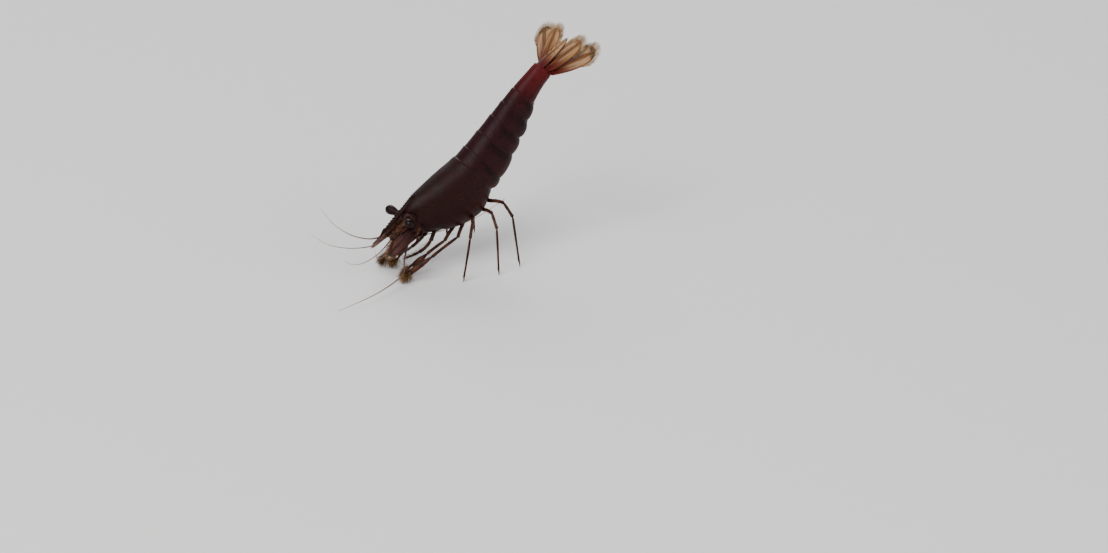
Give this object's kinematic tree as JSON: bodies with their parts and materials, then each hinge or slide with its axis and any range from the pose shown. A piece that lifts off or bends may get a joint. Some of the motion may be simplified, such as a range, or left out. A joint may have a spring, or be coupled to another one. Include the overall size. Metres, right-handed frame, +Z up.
{
  "type": "freshwater dwarf shrimp",
  "caption": "Life-size still model of a small dark red freshwater aquarium shrimp feeding head down with its tail fan raised and spread.",
  "frame": {"origin": "centre of the bounding box in plan, on the floor that the feet stand on", "axes": "-X the way the head points, +X towards the raised tail, +Z up, -Y the animal's left side"},
  "size_m": [0.028, 0.0112, 0.0201],
  "materials": {
    "shell": "dark maroon-brown wet shell, satin gloss",
    "tail_shell": "wine-red wet shell, satin gloss",
    "fan": "thin amber-brown translucent blades, satin",
    "limbs": "reddish-brown limbs and feelers, satin",
    "eyes": "black-brown, glossy"
  },
  "bodies": {
    "root": {"carapace": "shell", "rostrum": "shell", "head": "shell", "eyestalk_left": "shell", "eye_left": "eyes", "antennule_left": "limbs", "antennule_whip_inner_left": "limbs", "antennule_whip_outer_left": "limbs", "antennal_scale_left": "fan", "antenna_left": "limbs", "antenna_whip_left": "limbs", "maxilliped_left": "limbs", "eyestalk_right": "shell", "eye_right": "eyes", "antennule_right": "limbs", "antennule_whip_inner_right": "limbs", "antennule_whip_outer_right": "limbs", "antennal_scale_right": "fan", "antenna_right": "limbs", "antenna_whip_right": "limbs", "maxilliped_right": "limbs", "thorax": "limbs", "leg_1_left": "limbs", "leg_1_right": "limbs", "leg_2_left": "limbs", "leg_2_right": "limbs", "leg_3_left": "limbs", "leg_3_right": "limbs", "leg_4_left": "limbs", "leg_4_right": "limbs", "leg_5_left": "limbs", "leg_5_right": "limbs", "pleon_1": "shell", "pleon_2": "shell", "pleon_3": "shell", "pleon_4": "shell", "pleon_5": "shell", "pleon_6": "tail_shell", "pleopod_1_left": "fan", "pleopod_1_right": "fan", "pleopod_2_left": "fan", "pleopod_2_right": "fan", "pleopod_3_left": "fan", "pleopod_3_right": "fan", "pleopod_4_left": "fan", "pleopod_4_right": "fan", "pleopod_5_left": "fan", "pleopod_5_right": "fan", "telson": "tail_shell", "uropod_inner_left": "fan", "uropod_inner_right": "fan", "uropod_outer_left": "fan", "uropod_outer_right": "fan"}
  },
  "joints": []
}
